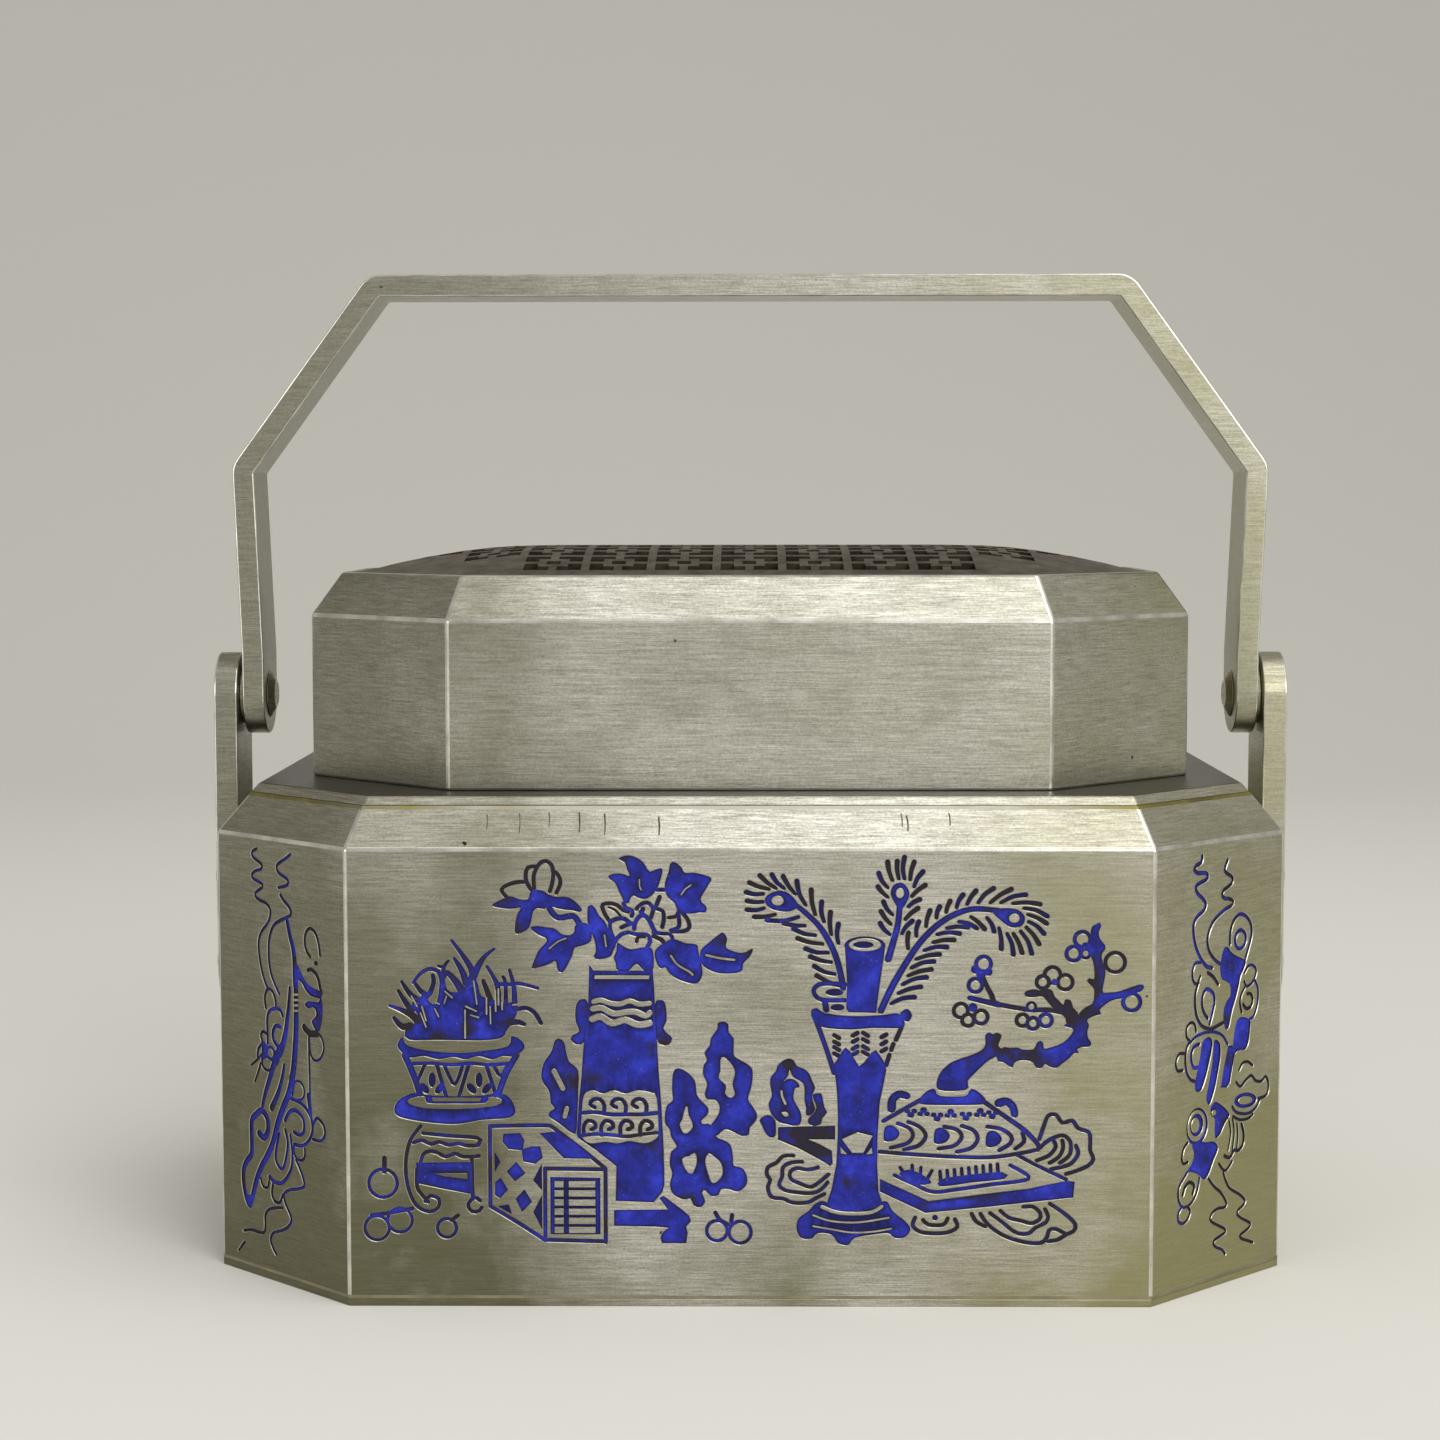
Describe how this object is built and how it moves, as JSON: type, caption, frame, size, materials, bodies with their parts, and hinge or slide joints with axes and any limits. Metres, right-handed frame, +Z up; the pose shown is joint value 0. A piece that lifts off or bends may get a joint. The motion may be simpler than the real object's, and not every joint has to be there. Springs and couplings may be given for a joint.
{
  "type": "chinese hand warmer",
  "caption": "Octagonal white-copper charcoal hand warmer with blue enamel pictures, a lift-off pierced lid and a swinging strap handle.",
  "frame": {"origin": "middle of the flat underside", "axes": "+X along the long side towards the right ear, +Y from the front wall to the back wall, +Z up"},
  "size_m": [0.1498, 0.09, 0.1321],
  "materials": {
    "paktong": "brushed",
    "brass": "satin",
    "copper": "dull",
    "blue_enamel": "satin"
  },
  "bodies": {
    "body": {"side_wall": "paktong", "base_plate": "paktong", "base_braze": "brass", "deck_plate": "paktong", "deck_braze": "brass", "neck_band": "paktong", "front_enamel": "blue_enamel", "back_enamel": "blue_enamel", "front_left_enamel": "blue_enamel", "front_right_enamel": "blue_enamel", "back_left_enamel": "blue_enamel", "back_right_enamel": "blue_enamel", "fire_pan": "copper", "left_ear": "paktong", "right_ear": "paktong", "left_ear_rivets": "paktong", "right_ear_rivets": "paktong", "left_pivot_pin": "paktong", "right_pivot_pin": "paktong", "left_washer": "brass", "right_washer": "brass"},
    "lid": {"lid_shell": "paktong", "pierced_plate": "paktong"},
    "handle": {"handle_strap": "paktong"}
  },
  "joints": [
    {"name": "handle_swing", "type": "hinge", "parent": "body", "child": "handle", "pos_m": [0, 0, 0.0744], "axis": [1, 0, 0], "range_deg": [-100, 100]},
    {"name": "lid_lift", "type": "slide", "parent": "body", "child": "lid", "axis": [0, 0, 1], "range_m": [0, 0.03]}
  ]
}
